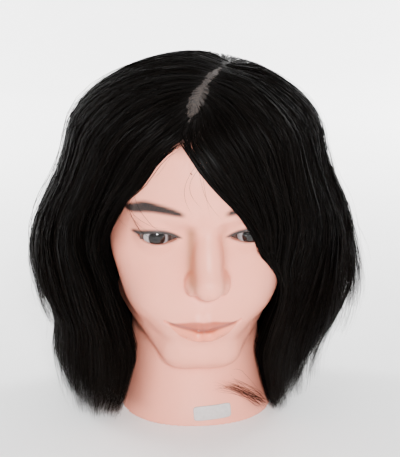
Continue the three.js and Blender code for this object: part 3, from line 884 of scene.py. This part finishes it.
def scalp_roots(count, random):
    """Root points over the scalp down to the hairline, denser by the parting and beside the face."""
    found = []
    while sum(len(f) for f in found) < count:
        n = count * 2
        azimuth = random.uniform(-180, 180, n)
        upper = random.random(n) < ROOTS_ABOVE_AXIS
        rise = np.arcsin(random.random(n))
        high = AXIS_Z + rise / (math.pi / 2) * (HAIR_TOP - AXIS_Z)
        level = np.where(upper, high, random.uniform(90, AXIS_Z, n))
        keep = level > curve(np.abs(azimuth), HAIRLINE)
        at = hair_at(azimuth[keep], level[keep], np.zeros(keep.sum()))
        distance = from_parting(at)[0]
        clear = distance > ROOTS_IN_GAP * curve(at[:, 1] - PARTING[0, 1], PARTING_GAP)
        at = at[clear | (random.random(len(at)) < STRAYS_IN_PARTING)]
        azimuth, level, _ = hair_place(at)
        near = from_parting(at)[0] < random.uniform(8, 44, len(at))
        near |= (np.abs(azimuth) > 40) & (np.abs(azimuth) < 80) & (level < 208)
        found.append(np.concatenate([at, at[near] + random.normal(0, 3.0, (near.sum(), 3))]))
    return random.permutation(np.concatenate(found))[:count]


# ---------------------------------------------------------------- hair: strands
FULL_LEVEL = 246.0  # strands rooted above this lie on the outside
UPPER_DEPTH = 0.60  # strands lying further out than this belong to the upper length
FLYAWAYS = 0.02  # share of strands that stand off the rest
STRAYS = 0.035  # share of strands with a wave of their own
CLUMPING = 0.62  # how far strands close in on their clump's guide, at most
SIDES_APART = 40.0  # keeps clumps from forming across the parting
STRAND_POINTS = 22
CLUMPS = 520


def frame_along(paths):
    """Unit tangent, outward and sideways directions at every point of every path."""
    tangent = np.gradient(paths, axis=1)
    tangent /= np.linalg.norm(tangent, axis=-1, keepdims=True) + 1e-9
    azimuth, level, _ = hair_place(paths)
    _, outward = hair_ray(azimuth, level)
    outward = outward - tangent * (outward * tangent).sum(-1, keepdims=True)
    outward /= np.linalg.norm(outward, axis=-1, keepdims=True) + 1e-9
    return tangent, outward, np.cross(tangent, outward)


def waved(paths, amount, phase, wave_length):
    """A wave that grows towards the tips, out of step between clumps."""
    _, outward, sideways = frame_along(paths)
    length = np.cumsum(np.linalg.norm(np.diff(paths, axis=1, prepend=paths[:, :1]), axis=-1), axis=1)
    share = length / (length[:, -1:] + 1e-6)
    swing = amount[:, None] * share ** 1.6
    turn = 2 * math.pi * length / wave_length[:, None] + phase[:, None]
    return paths + (sideways * (swing * np.sin(turn))[..., None]
                    + outward * (0.55 * swing * np.cos(turn * 1.07))[..., None])


def kept_clear(paths, side, margin):
    """Points moved out of the face window and off the skin, and held above the table."""
    azimuth, level, distance = hair_place(paths)
    azimuth = beside_window(azimuth, level, distance, side[:, None], margin[:, None])
    base, ray = hair_ray(azimuth, np.maximum(level, SHORTEST_LEVEL))
    low = look_up(HANG_REACH, azimuth, level) + SKIN_CLEARANCE
    return base + ray * np.maximum(distance, low)[..., None]


def grow_hair(count, seed=11):
    random = np.random.default_rng(seed)
    roots = scalp_roots(count, random)
    azimuth, level, _ = hair_place(roots)
    side = from_parting(roots)[2]
    side = np.where(np.abs(azimuth) > 100, np.sign(azimuth), side)
    # hair rooted near the parting and crown lies outermost
    hairline = curve(np.abs(azimuth), HAIRLINE)
    rank = np.clip((level - hairline) / (FULL_LEVEL - hairline), 0, 1)
    depth = np.clip(0.10 + 0.92 * rank + random.normal(0, 0.12, count), 0.03, 1.0)
    upper = depth > UPPER_DEPTH
    end_level = np.where(upper, random.normal(92, 13, count), random.triangular(1, 2, 20, count))
    front = np.abs(azimuth) < 58
    end_level = np.where(upper & front, random.triangular(2, 16, 70, count), end_level)
    end_level = np.clip(end_level, 3, 130)
    margin = random.exponential(5.5, count) - 0.6
    wander = random.normal(0, 0.10, count)

    depth = np.where(random.random(count) < FLYAWAYS, random.uniform(1.0, 1.18, count), depth)
    apart = SIDES_APART * side * smoothstep(0, -40, roots[:, 1])
    guide_of = nearest_guides(np.column_stack([roots, apart]), upper, random)
    wander = 0.35 * wander + wander[guide_of]
    end_level = 0.35 * end_level + 0.65 * end_level[guide_of]
    paths, ended = flow_paths(roots, side, depth, upper, end_level, margin, wander)
    paths = resampled(paths, ended)
    pull = (CLUMPING * random.uniform(0.35, 1, count))[:, None, None]
    t = np.linspace(0, 1, STRAND_POINTS)[None, :, None]
    paths = paths + (paths[guide_of] - paths) * pull * smoothstep(0.12, 0.85, t)
    phase = random.uniform(0, 2 * math.pi, count)
    phase = phase[guide_of] + 0.25 * random.normal(0, 1, count)
    amount = random.uniform(2.0, 6.5, count)
    calm = 0.2 + 0.8 * smoothstep(40, 75, np.abs(azimuth))
    amount = (0.75 * amount[guide_of] + 0.25 * amount) * calm
    wave_length = random.uniform(75, 120, count)[guide_of]
    paths = waved(paths, amount, phase, wave_length)
    stray = (random.random(count) < STRAYS) | (depth > 1)
    paths = waved(paths, np.where(stray, random.uniform(3, 9, count) * calm, 0.0),
                  random.uniform(0, 6.28, count), random.uniform(60, 160, count))
    paths = flicked(paths, end_flick(azimuth, side, upper, guide_of, random))
    paths = kept_clear(paths, side, margin)
    return {"paths": paths, "azimuth": azimuth, "level": level, "side": side, "upper": upper,
            "tone": random.random(count), "roll": random.normal(0, 0.5, count),
            "width": random.uniform(0.42, 0.72, count) * np.where(margin < 1.2, 0.6, 1)}


FLICK_START = 0.76  # where along a strand its end begins to stand out


def end_flick(azimuth, side, upper, guide_of, random):
    """How far each strand's end stands out from its clump's path. Negative curls under."""
    count = len(azimuth)
    flick = np.minimum(random.gamma(1.8, 3.4, count), 9.5) * np.where(side > 0, 1.7, 0.9)
    under = np.where(side > 0, random.normal(-7, 5, count), random.normal(1, 6, count))
    flick = np.where(upper, flick * smoothstep(30, 65, np.abs(azimuth)), under)
    return 0.7 * flick[guide_of] + 0.3 * flick


def flicked(paths, flick):
    _, outward, _ = frame_along(paths)
    t = np.linspace(0, 1, paths.shape[1])
    share = np.clip((t - FLICK_START) / (1 - FLICK_START), 0, 1) ** 1.6
    return paths + outward * (flick[:, None] * share)[..., None]


def nearest_guides(roots, kind, random):
    """For each strand, the index of the strand that its clump gathers around."""
    guide_of = np.arange(len(roots))
    for group in np.unique(kind):
        members = np.nonzero(kind == group)[0]
        guides = random.choice(members, min(CLUMPS // 2, len(members)), replace=False)
        for start in range(0, len(members), 2000):
            part = members[start:start + 2000]
            gap = np.linalg.norm(roots[part][:, None] - roots[guides][None], axis=-1)
            guide_of[part] = guides[np.argmin(gap, axis=1)]
    return guide_of


def ribbons(name, paths, width, roll, tone):
    """One mesh of flat tapered strands, with a UV strip for each."""
    count, points = paths.shape[:2]
    _, outward, sideways = frame_along(paths)
    t = np.linspace(0, 1, points)
    taper = (np.minimum(1, 0.55 + 3 * t) * np.clip((1.02 - t) * 3.2, 0.12, 1))[None, :, None]
    across = sideways * np.cos(roll)[:, None, None] + outward * np.sin(roll)[:, None, None]
    half = 0.5 * width[:, None, None] * taper
    vertices = np.stack([paths - across * half, paths + across * half], 2)  # strand, point, side
    index = np.arange(count * points * 2).reshape(count, points, 2)
    a, b = index[:, :-1, 0], index[:, :-1, 1]
    c, d = index[:, 1:, 1], index[:, 1:, 0]
    faces = np.stack([a, b, c, d], -1).reshape(-1, 4)
    piece = mesh_object(name, vertices.reshape(-1, 3), faces)
    add_attribute(piece, "tone", np.repeat(tone, points * 2))
    add_attribute(piece, "along", np.tile(np.repeat(t, 2), count))
    add_strip_uvs(piece, count, points)
    return piece


def add_strip_uvs(piece, count, points):
    """Each strand is an upright strip of the map, in rows of strips."""
    rows = max(1, round(math.sqrt(count / 14)))
    columns = math.ceil(count / rows)
    strand = np.arange(count)
    left = (strand % columns) / columns
    bottom = (strand // columns) / rows
    u = left[:, None, None] + np.array([0.15, 0.85])[None, None, :] / columns
    v = bottom[:, None, None] + (0.04 + 0.92 * np.linspace(0, 1, points))[None, :, None] / rows
    corner = np.stack(np.broadcast_arrays(u, v), -1).reshape(-1, 2)
    loops = np.empty(len(piece.data.loops), np.int32)
    piece.data.loops.foreach_get("vertex_index", loops)
    layer = piece.data.uv_layers.new(name="OFBake")
    layer.data.foreach_set("uv", corner[loops].astype(np.float32).ravel())


def hair_material():
    m = Nodes("dark_hair")
    tone = m.attribute("tone")
    base = m.mix(tone, (0.0009, 0.0007, 0.0006), (0.0036, 0.0026, 0.0021))
    tips = m.spread(m.attribute("along"), 0.6, 1.0, 0.0, 0.5)
    base = m.mix(tips, base, (0.009, 0.0060, 0.0045))
    m.set(rough=m.spread(tone, 0.0, 1.0, 0.34, 0.52), spec=0.032)
    return m.colour(base)


def under_hair_material():
    m = Nodes("hair_mass")
    tone = m.spread(m.noise(300.0, 3.0), 0.3, 0.7)
    base = m.mix(tone, (0.0022, 0.0018, 0.0016), (0.005, 0.004, 0.0034))
    m.set(rough=0.75, spec=0.1)
    m.bump(m.noise(500.0, 3.0), 0.4, 0.0006)
    return m.colour(base)


# The inner hair, too dense to see through, is one thin closed skin under the strands.
MASS_DEPTH = 0.34
MASS_THICKNESS = 1.6
MASS_BOTTOM = 34.0
PARTING_DIVE = 1.4


def hair_mass():
    """The shell, from just behind one side of the face round the back to the other, closed on top."""
    levels = np.concatenate([np.linspace(MASS_BOTTOM, 215, 62), np.linspace(217, HAIR_TOP - 0.3, 44)])
    across = np.linspace(0, 1, 170)
    level = np.repeat(levels[:, None], len(across), 1)
    back_off = 5 + 42 * smoothstep(125, 85, levels)
    left = np.maximum(curve(levels, EDGE_LEFT) + back_off, 0)
    right = np.minimum(curve(levels, EDGE_RIGHT) - back_off, 0)
    closed = smoothstep(213, 222, levels)
    left = left * (1 - closed)
    right = right * (1 - closed)
    azimuth = left[:, None] + (360 + right - left)[:, None] * across
    azimuth = (azimuth + 180) % 360 - 180
    beside = np.minimum(np.abs(across), np.abs(1 - across)) * 300
    shallow = smoothstep(-2, 16, beside)[None, :] * (1 - closed)[:, None] + closed[:, None]
    places = hair_at(azimuth, level, np.zeros_like(level))
    distance = from_parting(places.reshape(-1, 3))[0].reshape(level.shape)
    dipped = smoothstep(8, 64, distance)
    gap = curve(places[..., 1] - PARTING[0, 1], PARTING_GAP) + 0.9 * np.sin(places[..., 1] * 0.9 + 0.3 * level)
    depth = MASS_DEPTH * shallow * (0.05 + 0.95 * dipped)
    _, ray = hair_ray(azimuth, level)
    dive = PARTING_DIVE * smoothstep(gap + 1.5, gap - 1.5, distance)
    outer = hair_at(azimuth, level, depth) - ray * dive[..., None]
    low = look_up(SKIN_REACH, azimuth, level) - 3.0
    _, _, reach = hair_place(outer)
    inner = outer - ray * np.minimum(MASS_THICKNESS, np.maximum(reach - low, 0.05))[..., None]
    _, quad = grid_quads(*level.shape)
    piece = mesh_object("hair_mass", np.concatenate([outer.reshape(-1, 3), inner.reshape(-1, 3)]),
                        np.concatenate([quad, quad[:, ::-1] + level.size]))
    piece.data.materials.append(under_hair_material())
    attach(piece, "root")


CROWN_LEVEL = 247
FRINGE_LEVEL = 176
FRINGE_AZIMUTH, BACK_AZIMUTH = 60, 112


def hair_groups(hair):
    """Which strands stand for each CAD hair section."""
    azimuth, level, side, upper = (hair[k] for k in ("azimuth", "level", "side", "upper"))
    crown = level > CROWN_LEVEL
    front = (np.abs(azimuth) < FRINGE_AZIMUTH) & ~crown & (level > FRINGE_LEVEL)
    back = np.abs(azimuth) > BACK_AZIMUTH
    groups = {"hair_crown": crown}
    for word, sign in (("right", -1), ("left", 1)):
        own = (side == sign) & ~crown
        groups["hair_fringe_" + word] = own & front
        rest = own & ~front
        groups[f"hair_side_{word}_upper"] = rest & ~back & upper
        groups[f"hair_side_{word}_lower"] = rest & ~back & ~upper
        groups[f"hair_back_{word}_upper"] = rest & back & upper
        groups[f"hair_nape_{word}"] = rest & back & ~upper
    return groups


STRANDS = 36000


def hair_pieces():
    hair_mass()
    hair = grow_hair(STRANDS)
    material = hair_material()
    for node, chosen in hair_groups(hair).items():
        pick = [hair[k][chosen] for k in ("paths", "width", "roll", "tone")]
        piece = ribbons(node.replace("hair_", "strands_"), *pick)
        piece.data.materials.append(material)
        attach(piece, "root")
        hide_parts(node)


# ---------------------------------------------------------------- loose strands over the face and neck
# name, start and end as (azimuth, level, depth), count, spread, sag, width (mm), CAD node, seed
LOOSE_LOCKS = [
    ("strays_forehead_right", (-34, 184, 0.15), (-27, 166, 0.08), 6, (6, 4, 0.05), -5, (0.14, 0.24),
     "hair_fringe_right", 31),
    ("strays_forehead_left", (-3, 209, 0.2), (1, 176, 0.1), 4, (2.5, 3, 0.05), -4, (0.12, 0.2),
     "hair_fringe_left", 32),
    ("wisp_neck", (48, 9, 0.22), (13, 37, 0.10), 34, (4, 3, 0.06), 3, (0.16, 0.28),
     "hair_side_left_lower", 33),
]


def loose_lock(name, start, end, count, spread, sag, width, node, seed):
    """Fine strands from one place to another, sagging a little between."""
    random = np.random.default_rng(seed)
    t = np.linspace(0, 1, STRAND_POINTS)[None, :]
    places = []
    for k in range(3):
        a = start[k] + random.normal(0, spread[k], count)
        b = end[k] + random.normal(0, spread[k] * 1.4, count)
        places.append(a[:, None] + (b - a)[:, None] * t)
    places[0] += random.normal(sag, abs(sag) * 0.4 + 0.3, count)[:, None] * np.sin(math.pi * t)
    paths = hair_at(places[0], np.maximum(places[1], SHORTEST_LEVEL), np.clip(places[2], 0.02, 1))
    paths = waved(paths, random.uniform(0.5, 2.5, count), random.uniform(0, 6.28, count),
                  random.uniform(40, 90, count))
    piece = ribbons(name, paths, random.uniform(*width, count), random.normal(0, 0.4, count),
                    random.random(count))
    piece.data.materials.append(bpy.data.materials["dark_hair"])
    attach(piece, "root")
    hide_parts(node)


# ---------------------------------------------------------------- label, base and core
def label_material():
    m = Nodes("label_paper")
    fibres = m.noise(420.0, 4.0)
    base = m.mix(m.spread(fibres, 0.3, 0.7), (0.46, 0.42, 0.41), (0.54, 0.50, 0.49))
    edge = m.spread(m.attribute("edge"), 0.0, 1.0, 0.0, 0.35)
    base = m.mix(edge, base, (0.30, 0.25, 0.23))
    m.set(rough=m.spread(fibres, 0.3, 0.7, 0.42, 0.55), spec=0.35)
    m.bump(fibres, 0.15, 0.0002)
    return m.colour(base)


LABEL_TURN = 0.05
LABEL_THICKNESS = 0.25
LABEL_GLUE = 0.25  # how far the back face lies off the vinyl
LABEL_SQUARENESS = 8
LABEL_CURL = 0.35


def label_piece():
    """The blank paper label, with slightly rounded corners and lifted edges."""
    low, high = (1000 * np.array(v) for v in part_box("neck_label"))
    width, height = high[0] - low[0], high[2] - low[2] - LABEL_TURN * (high[0] - low[0])
    rows, columns = 24, 60
    u, v = np.meshgrid(np.linspace(-1, 1, columns), np.linspace(-1, 1, rows))
    norm = np.maximum(np.maximum(np.abs(u), np.abs(v)), 1e-6)
    power = np.abs(u) ** LABEL_SQUARENESS + np.abs(v) ** LABEL_SQUARENESS + 1e-9
    round_off = norm / power ** (1 / LABEL_SQUARENESS)
    across, up = u * round_off * width / 2, v * round_off * height / 2
    x = (low[0] + high[0]) / 2 + across - up * LABEL_TURN
    z = (low[2] + high[2]) / 2 + up + across * LABEL_TURN
    y = np.full_like(x, -75.0)
    for _ in range(40):
        y = y + np.clip(neck(x, y, z), -2, 2) * 0.9
    at = np.stack([x, y - LABEL_GLUE, z], -1)
    curl = LABEL_CURL * np.clip((norm - 0.9) / 0.1, 0, 1) ** 2
    front = at - np.stack([0 * curl, curl + LABEL_THICKNESS, 0 * curl], -1)
    index, quad = grid_quads(rows, columns)
    ring = np.concatenate([index[0], index[1:, -1], index[-1, -2::-1], index[-2:0:-1, 0]])
    after = np.roll(ring, -1)
    shift = rows * columns
    rim = np.stack([ring, ring + shift, after + shift, after], -1)
    piece = mesh_object("paper_label", np.concatenate([front.reshape(-1, 3), at.reshape(-1, 3)]),
                        np.concatenate([quad, quad[:, ::-1] + shift, rim]))
    add_attribute(piece, "edge", np.tile(smoothstep(0.94, 1.0, norm).ravel(), 2))
    piece.data.materials.append(label_material())
    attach(piece, "root")
    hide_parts("neck_label")


def plastic_material(name, light, dark, rough):
    m = Nodes(name)
    cloudy = m.noise(40.0, 4.0)
    base = m.mix(m.spread(cloudy, 0.3, 0.7), light, dark)
    m.set(rough=m.spread(m.noise(160.0, 4.0), 0.3, 0.7, rough - 0.08, rough + 0.1), spec=0.4)
    m.bump(m.noise(600.0, 3.0), 0.12, 0.0004)
    return m.colour(base)


def foam_material():
    m = Nodes("cast_foam")
    cells = m.noise(700.0, 4.0, 0.7)
    base = m.mix(m.spread(cells, 0.3, 0.7), (0.58, 0.42, 0.17), (0.74, 0.60, 0.32))
    m.set(rough=0.9, spec=0.2)
    m.bump(cells, 0.5, 0.0012)
    return m.colour(base)


def dress_cad_nodes():
    """Finishes for the CAD nodes that are shown as they are."""
    socket = plastic_material("socket_plastic", (0.70, 0.66, 0.60), (0.60, 0.56, 0.50), 0.42)
    for name, material in (("base_disc", socket), ("clamp_socket", socket), ("foam_core", foam_material())):
        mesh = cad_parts[name].data
        mesh.materials.clear()
        mesh.materials.append(material)


# ---------------------------------------------------------------- stage, lights and camera
def stage_material():
    m = Nodes("pale_paper")
    tone = m.mix(m.spread(m.noise(3.0), 0.3, 0.7), (0.95, 0.95, 0.95), (0.98, 0.98, 0.98))
    m.set(rough=0.9, spec=0.1)
    return m.colour(tone)


STAGE_FLAT, STAGE_BEND, STAGE_HEIGHT, STAGE_AROUND, STAGE_STEPS = 1.5, 1.0, 2.6, 72, 12


def build_stage():
    """A flat round floor that bends up into a wall all the way round."""
    profile = [(STAGE_FLAT, 0.0)]
    for i in range(1, STAGE_STEPS + 1):
        angle = math.pi / 2 * i / STAGE_STEPS
        profile.append((STAGE_FLAT + STAGE_BEND * math.sin(angle), STAGE_BEND - STAGE_BEND * math.cos(angle)))
    profile.append((STAGE_FLAT + STAGE_BEND, STAGE_HEIGHT))
    turns = [2 * math.pi * j / STAGE_AROUND for j in range(STAGE_AROUND)]
    vertices = [(0.0, 0.0, 0.0)] + [(r * math.cos(t), r * math.sin(t), z) for r, z in profile for t in turns]
    rings = [1 + i * STAGE_AROUND for i in range(len(profile))]
    faces = fan(0, 1, STAGE_AROUND) + ring_quads(rings, STAGE_AROUND)
    floor = mixed_object("backdrop", vertices, faces)
    floor.data.materials.append(stage_material())


def area_light(name, at, aim, power, size):
    data = bpy.data.lights.new(name, "AREA")
    data.shape = "DISK"
    data.energy, data.size = power, size
    lamp = linked(bpy.data.objects.new(name, data))
    lamp.location = at
    lamp.rotation_euler = (Vector(aim) - Vector(at)).to_track_quat("-Z", "Y").to_euler()


def build_lights():
    world = bpy.data.worlds.new("studio")
    world.use_nodes = True
    sky = world.node_tree.nodes["Background"]
    sky.inputs["Color"].default_value = (1, 1, 1, 1)
    sky.inputs["Strength"].default_value = 0.05
    bpy.context.scene.world = world
    area_light("key", (0.02, -1.15, 0.55), (0, -0.03, 0.15), 23.0, 0.14)
    area_light("top", (0.0, 0.2, 1.9), (0, 0.1, 0), 15.0, 1.4)
    area_light("back_right", (-1.1, 0.9, 0.9), (-0.2, 1.9, 0.1), 70.0, 0.9)
    area_light("back_left", (1.1, 0.9, 0.9), (0.2, 1.9, 0.1), 70.0, 0.9)


CAMERA = {"azimuth": -4.5, "elevation": 16.5, "distance": 0.95, "aim": (0.003, -0.010, 0.146),
          "focal_px": 1208}
FRAME_H = 457


def build_camera():
    azimuth, elevation = math.radians(CAMERA["azimuth"]), math.radians(CAMERA["elevation"])
    back = Vector((math.sin(azimuth) * math.cos(elevation), -math.cos(azimuth) * math.cos(elevation),
                   math.sin(elevation)))
    data = bpy.data.cameras.new("camera")
    data.sensor_fit = "VERTICAL"
    data.sensor_height = 24.0
    data.lens = CAMERA["focal_px"] / FRAME_H * data.sensor_height
    data.clip_start = 0.05
    camera = linked(bpy.data.objects.new("camera", data))
    camera.location = Vector(CAMERA["aim"]) + back * CAMERA["distance"]
    camera.rotation_euler = (-back).to_track_quat("-Z", "Y").to_euler()
    bpy.context.scene.camera = camera


# ---------------------------------------------------------------- assembly
build_camera()
build_stage()
build_lights()
skin_piece()
glossy = eye_material()
for side in (1, -1):
    eye_piece(side, glossy)
hair_pieces()
for lock in LOOSE_LOCKS:
    loose_lock(*lock)
label_piece()
dress_cad_nodes()

bpy.context.view_layer.update()
